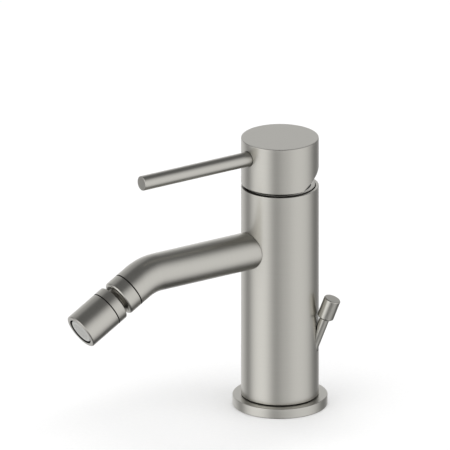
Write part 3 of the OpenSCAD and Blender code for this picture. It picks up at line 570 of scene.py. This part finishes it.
def honeycombCutter():
    # one six-sided cell, copied over the grid and joined into one cutter
    bpy.ops.object.select_all(action="DESELECT")
    cellRadius = aerator["cellAcross"] / 2 / math.cos(math.pi / 6)
    bpy.ops.mesh.primitive_cylinder_add(vertices=6, radius=cellRadius * mm,
                                        depth=2 * aerator["cellDepth"] * mm,
                                        location=(0, 0, aerator["face"] * mm))
    cell = bpy.context.active_object
    bpy.ops.object.transform_apply(location=True, rotation=True, scale=True)
    pitch = aerator["cellPitch"]
    reach = int(aerator["gridRadius"] / pitch) + 1
    cells = [cell]
    for row in range(-reach, reach + 1):
        for place in range(-reach, reach + 1):
            x = pitch * (place + row / 2)
            y = pitch * row * math.sqrt(3) / 2
            if (row, place) == (0, 0) or math.hypot(x, y) > aerator["gridRadius"] - aerator["cellAcross"]:
                continue
            copy = cell.copy()
            copy.data = cell.data.copy()
            copy.location = (x * mm, y * mm, 0)
            scene.collection.objects.link(copy)
            cells.append(copy)
    makeActive(cell)
    for copy in cells:
        copy.select_set(True)
    bpy.ops.object.join()
    return cell


cut(gridPiece, honeycombCutter())
handOver(settle(gridPiece, **spoutEnd), "nozzle", ["aerator_grid"], aeratorPale,
         aerator["gridSmooth"])
print("aerator made")

# handle cap

cap = {
    "radius": 22.5, "low": 135.8, "top": 163.5, "rows": 8, "steps": 180, "edge": 0.5, "edgeRows": 5,
    "edgeStop": 15,  # degrees before the wall at which its round ends
    "cut": 29.0, "cutEdge": 0.3, "cutRoom": 0.0001, "cavity": 19.5, "cavityTop": 146.0, "boss": 9.5,
    "socket": 8.2, "socketTop": 157.8, "socketDrop": 5.0,
    "leverHole": 4.45, "leverSeat": 17.5, "leverSteps": 96, "reliefRadius": 4.75, "reliefAt": 21.7,
    "plugHole": 3.1, "plugFloor": 18.0, "holeOut": 40.0, "topSlope": 0.999, "undersideSlope": -0.98,
}
capEdge = cap["edge"]
capArcAt = cap["radius"] - capEdge
edgeStop = cap["edgeStop"]
capPiece = turned("handleCap", [(0, cap["low"]), (cap["boss"], cap["low"]), (cap["boss"], cap["cavityTop"]),
                                (cap["cavity"], cap["cavityTop"]), (cap["cavity"], cap["low"])]
                  + arc((capArcAt, cap["low"] + capEdge), capEdge, -90, -edgeStop, cap["edgeRows"])
                  + rows(cap["radius"], cap["low"] + capEdge, cap["top"] - capEdge, cap["rows"])
                  + arc((capArcAt, cap["top"] - capEdge), capEdge, edgeStop, 90, cap["edgeRows"])
                  + [(0, cap["top"])], cap["steps"], closed=False)
makeActive(capPiece)
bpy.ops.object.mode_set(mode="EDIT")
bpy.ops.mesh.select_all(action="SELECT")
cutTurn = math.radians(cap["cut"])
bpy.ops.mesh.bisect(plane_co=(0, 0, cap["low"] * mm), plane_no=(0, -math.sin(cutTurn), math.cos(cutTurn)),
                    use_fill=True, clear_inner=True, threshold=cap["cutRoom"] * mm)
bpy.ops.object.mode_set(mode="OBJECT")
soften(capPiece, cap["cutEdge"], angle=28)
leverHole = turned("leverCutter", [
    (0, cap["leverSeat"]), (cap["leverHole"], cap["leverSeat"]), (cap["leverHole"], cap["reliefAt"]),
    (cap["reliefRadius"], cap["reliefAt"]), (cap["reliefRadius"], cap["holeOut"]), (0, cap["holeOut"])],
    cap["leverSteps"], closed=False)
cut(capPiece, settle(leverHole, **leverAxis))
plugHole = bar("plugCutter", cap["plugHole"], -cap["plugFloor"], -cap["holeOut"])
cut(capPiece, settle(plugHole, **leverAxis))
bpy.ops.object.select_all(action="DESELECT")
bpy.ops.mesh.primitive_cube_add(size=1)
stemSocket = bpy.context.active_object
socketLow = cap["low"] - cap["socketDrop"]
stemSocket.scale = (cap["socket"] * mm, cap["socket"] * mm, (cap["socketTop"] - socketLow) * mm)
cut(capPiece, settle(stemSocket, (0, 0, (cap["socketTop"] + socketLow) / 2)))
handOver(capPiece, "handle", ["handle_cap"], columnNickel)
refinishOrShade(capPiece, topNickel, lambda radius, height, slope: slope > cap["topSlope"]
         and height > cap["top"] - nearby)
# painted shade: the cap's underside and cavity get the near-black metal
refinishOrShade(capPiece, paintedShade, lambda radius, height, slope: slope < cap["undersideSlope"]
         or radius < cap["cavity"] + nearby and height < cap["cavityTop"] + nearby)
print("cap made")

# lever, plug, lift rod and knob

lever = {"radius": 4.35, "seat": 17.5, "end": 96.5, "edge": 0.45, "rows": 8, "steps": 96}
leverPiece = turned("leverRod", [(0, lever["seat"])]
                    + rows(lever["radius"], lever["seat"], lever["end"], lever["rows"])
                    + [(0, lever["end"])], lever["steps"], closed=False)
soften(leverPiece, lever["edge"])
handOver(settle(leverPiece, **leverAxis), "handle", ["lever_rod"], leverNickel)

plug = {"radius": 3.0, "low": 18.5, "face": 22.05, "crown": 0.25, "steps": 64,
        "crownShape": ((0.8, 0.6), (0.4, 0.9), (0, 1))}  # shares of the radius and of the crown
plugPiece = turned("screwPlug", [(0, -plug["low"]), (plug["radius"], -plug["low"]),
                                 (plug["radius"], -plug["face"])]
                   + [(plug["radius"] * share, -plug["face"] - plug["crown"] * rise)
                      for share, rise in plug["crownShape"]], plug["steps"], closed=False)
handOver(settle(plugPiece, **leverAxis), "handle", ["screw_plug"], leverNickel)

rod = {"radius": 2.9, "low": -42.97, "knobLow": 12.84, "link": 1.9, "linkDepth": 8.0, "thread": 2.0,
       "threadEnd": 19.84, "edge": 0.2, "rows": 6, "steps": 72}
linkEnd = rod["low"] + rod["linkDepth"]
rodPiece = turned("liftRod", [(0, linkEnd), (rod["link"], linkEnd), (rod["link"], rod["low"])]
                  + rows(rod["radius"], rod["low"], rod["knobLow"], rod["rows"])
                  + [(rod["thread"], rod["knobLow"]), (rod["thread"], rod["threadEnd"]),
                     (0, rod["threadEnd"])], rod["steps"], closed=False)
soften(rodPiece, rod["edge"], segments=2)
handOver(settle(rodPiece, **rodAxis), "lift_rod", ["lift_rod"], rodNickel)

knob = {"radius": 4.9, "low": 12.84, "end": 25.94, "lowChamfer": 1.0, "topChamfer": 0.4, "bore": 2.1,
        "boreEnd": 19.94, "edge": 0.15, "steps": 96}
knobPiece = turned("liftKnob", [
    (0, knob["boreEnd"]), (knob["bore"], knob["boreEnd"]), (knob["bore"], knob["low"]),
    (knob["radius"] - knob["lowChamfer"], knob["low"]), (knob["radius"], knob["low"] + knob["lowChamfer"]),
    (knob["radius"], knob["end"] - knob["topChamfer"]), (knob["radius"] - knob["topChamfer"], knob["end"]),
    (0, knob["end"])], knob["steps"], closed=False)
soften(knobPiece, knob["edge"], segments=2, angle=25)
handOver(settle(knobPiece, **rodAxis), "lift_rod", ["lift_knob"], rodNickel)
print("lever, plug, rod and knob made")


# floor, light and camera

studio = {
    "floorSize": 40.0, "floorDark": 0.95, "floorLight": 0.97, "floorGrain": 400, "floorRough": 0.9,
    "lampSize": 3.0, "lampHeight": 2.2, "lampPower": 55.0,
    "base": 0.15,  # strength of the world between the panels
}
panels = {
    # name: degrees round from the camera, degrees up, half width in degrees, strength
    # a strength below 0 is a dark card that takes light away
    "left": (-60, 0, 55, 1.10),
    "leftHigh": (-40, 20, 42, 0.35),
    "front": (0, 0, 30, 0.60),
    "right": (60, 0, 70, 0.83),
    "back": (168, 16, 30, 0.33),
    "backRight": (160, 0, 55, 0.15),
    "backLeft": (-160, -18, 55, 0.69),
    "backLeftHigh": (-145, 37, 33, 0.36),
    "darkCard": (105, -62, 38, -0.11),
}
view = {"round": 56.0, "up": 20.0, "frame": 0.260, "aside": -0.03174, "raise": 0.10276, "distance": 1.2,
        "farEnd": 100}

bpy.ops.object.select_all(action="DESELECT")
bpy.ops.mesh.primitive_plane_add(size=studio["floorSize"])
floor = bpy.context.active_object
floor.name = "floor"
floorMaterial, floorTree, floorShader = newMaterial("floorPaper")
paper = noise(floorTree, grainCoordinates(floorTree), studio["floorGrain"])
twoTone(floorTree, floorShader, paper, [studio["floorDark"]] * 3, [studio["floorLight"]] * 3)
floorShader.inputs["Roughness"].default_value = studio["floorRough"]
floorShader.inputs["Specular IOR Level"].default_value = 0.0
floor.data.materials.append(floorMaterial)
floor.visible_glossy = False
floor.visible_shadow = False

bpy.ops.object.light_add(type="AREA", location=(0, 0, studio["lampHeight"]))
lamp = bpy.context.active_object
lamp.name = "overheadPanel"
lamp.data.shape = "SQUARE"
lamp.data.size = studio["lampSize"]
lamp.data.energy = studio["lampPower"]
lamp.visible_glossy = False


def lookDirection(roundTurn, up):
    # a direction counted from the camera's own side
    angle = math.radians(view["round"] - 90 + roundTurn)
    lift = math.radians(up)
    return Vector((math.cos(angle) * math.cos(lift), math.sin(angle) * math.cos(lift), math.sin(lift)))


world = scene.world or bpy.data.worlds.new("studio")
scene.world = world
world.use_nodes = True
sky = world.node_tree
background = sky.nodes["Background"]
background.inputs["Color"].default_value = (1, 1, 1, 1)
direction = sky.nodes.new("ShaderNodeTexCoord")
total = None
for name, (roundTurn, up, halfWidth, strength) in panels.items():
    facing = sky.nodes.new("ShaderNodeVectorMath")
    facing.operation = "DOT_PRODUCT"
    facing.name = name
    facing.inputs[1].default_value = lookDirection(roundTurn, up)
    sky.links.new(direction.outputs["Generated"], facing.inputs[0])
    falloff = sky.nodes.new("ShaderNodeMapRange")
    falloff.interpolation_type = "SMOOTHSTEP"
    falloff.inputs["From Min"].default_value = math.cos(math.radians(halfWidth))
    falloff.inputs["From Max"].default_value = 1.0
    falloff.inputs["To Max"].default_value = strength
    sky.links.new(facing.outputs["Value"], falloff.inputs["Value"])
    add = sky.nodes.new("ShaderNodeMath")
    add.operation = "ADD"
    add.inputs[1].default_value = studio["base"]
    if total:
        sky.links.new(total, add.inputs[1])
    sky.links.new(falloff.outputs["Result"], add.inputs[0])
    total = add.outputs["Value"]
sky.links.new(total, background.inputs["Strength"])

right = lookDirection(90, 0)
away = lookDirection(0, view["up"])
upward = away.cross(right)
target = right * view["aside"] + upward * view["raise"]
bpy.ops.object.camera_add(location=target + away * view["distance"])
camera = bpy.context.active_object
camera.rotation_euler = away.to_track_quat("Z", "Y").to_euler()
camera.data.type = "ORTHO"
camera.data.ortho_scale = view["frame"]
camera.data.clip_end = view["farEnd"]
camera.data.dof.use_dof = False
scene.camera = camera
print("stage set")
